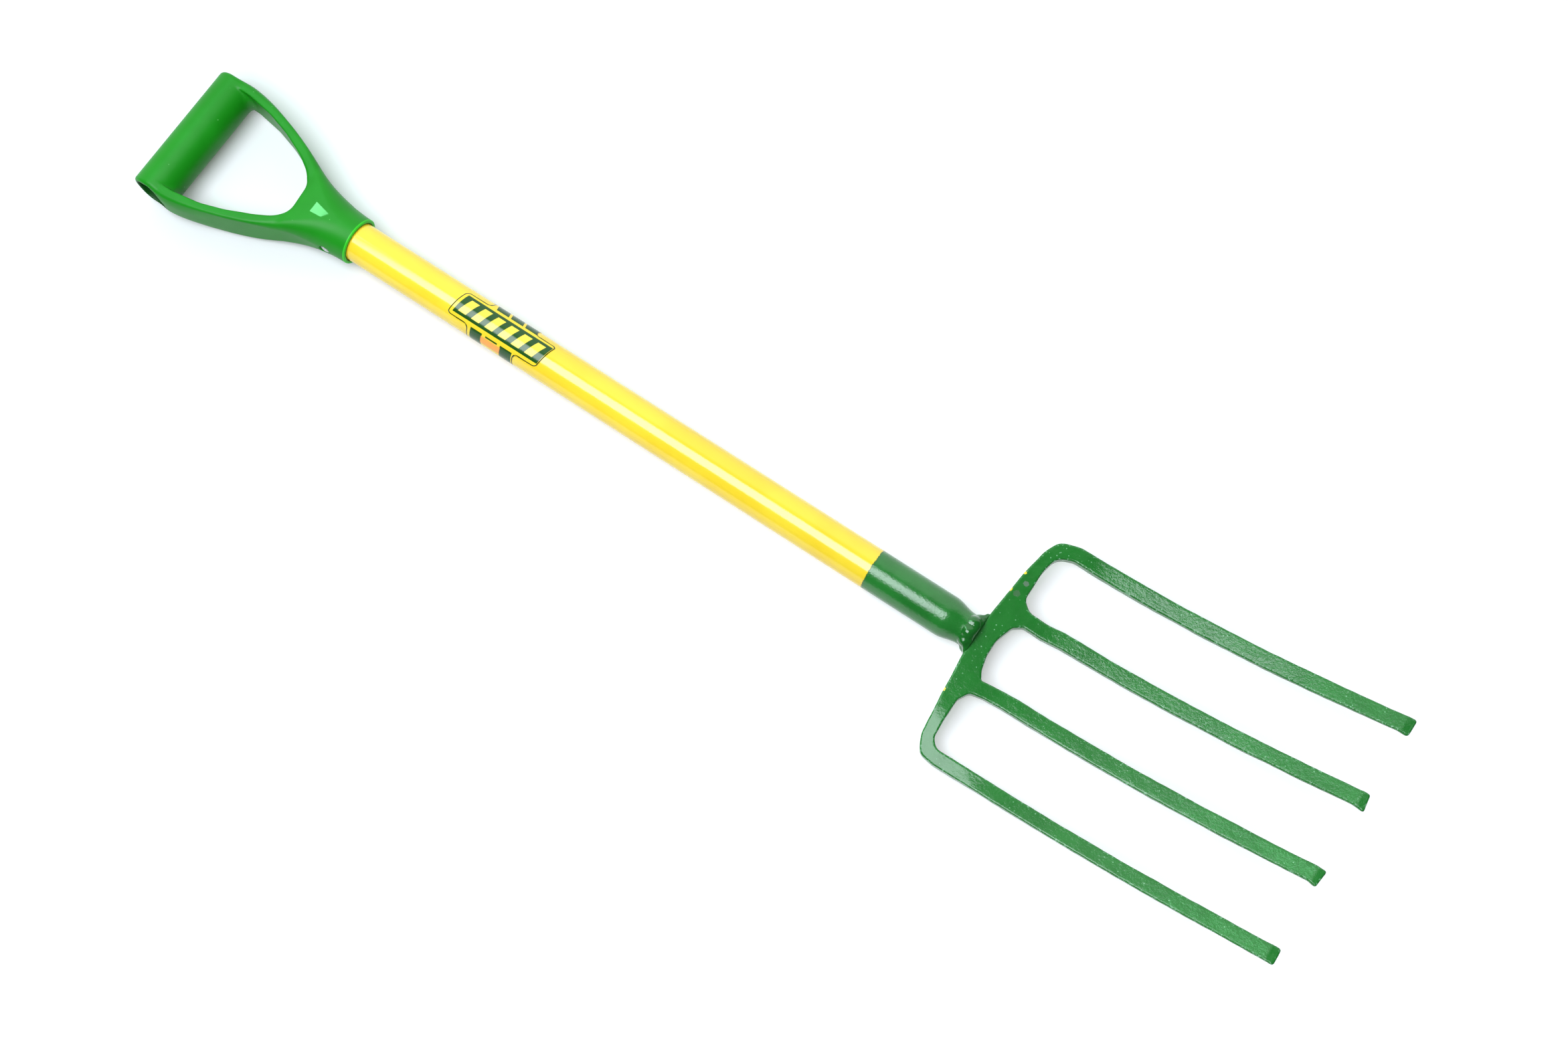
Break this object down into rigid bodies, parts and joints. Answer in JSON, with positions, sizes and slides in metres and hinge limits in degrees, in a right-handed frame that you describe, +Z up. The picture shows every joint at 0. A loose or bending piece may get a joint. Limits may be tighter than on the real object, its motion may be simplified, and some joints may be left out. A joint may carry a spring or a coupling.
{
  "type": "garden fork",
  "caption": "Long steel fork with curved flat tines, a straight tube shaft and a hollow moulded D-handle.",
  "frame": {"origin": "under the middle of the tool's bounding box, on the surface that the socket's rim lies on", "axes": "+X along the shaft from the grip to the tine tips, +Y along the grip, +Z up, the way the tines curve"},
  "size_m": [1.0304, 0.196, 0.099],
  "materials": {
    "handle_plastic": "satin moulded polypropylene, green",
    "rivet_steel": "bright steel",
    "tube_paint": "gloss yellow paint, green at the lower end",
    "head_paint": "semi-gloss green paint over forged steel",
    "weld_paint": "gloss green paint over a weld",
    "label_film": "printed film, plain bands only"
  },
  "bodies": {
    "root": {"d_handle": "handle_plastic", "handle_rivet": "rivet_steel", "shaft_tube": "tube_paint", "fork_head": "head_paint", "weld_bead": "weld_paint", "shaft_label": "label_film"}
  },
  "joints": []
}
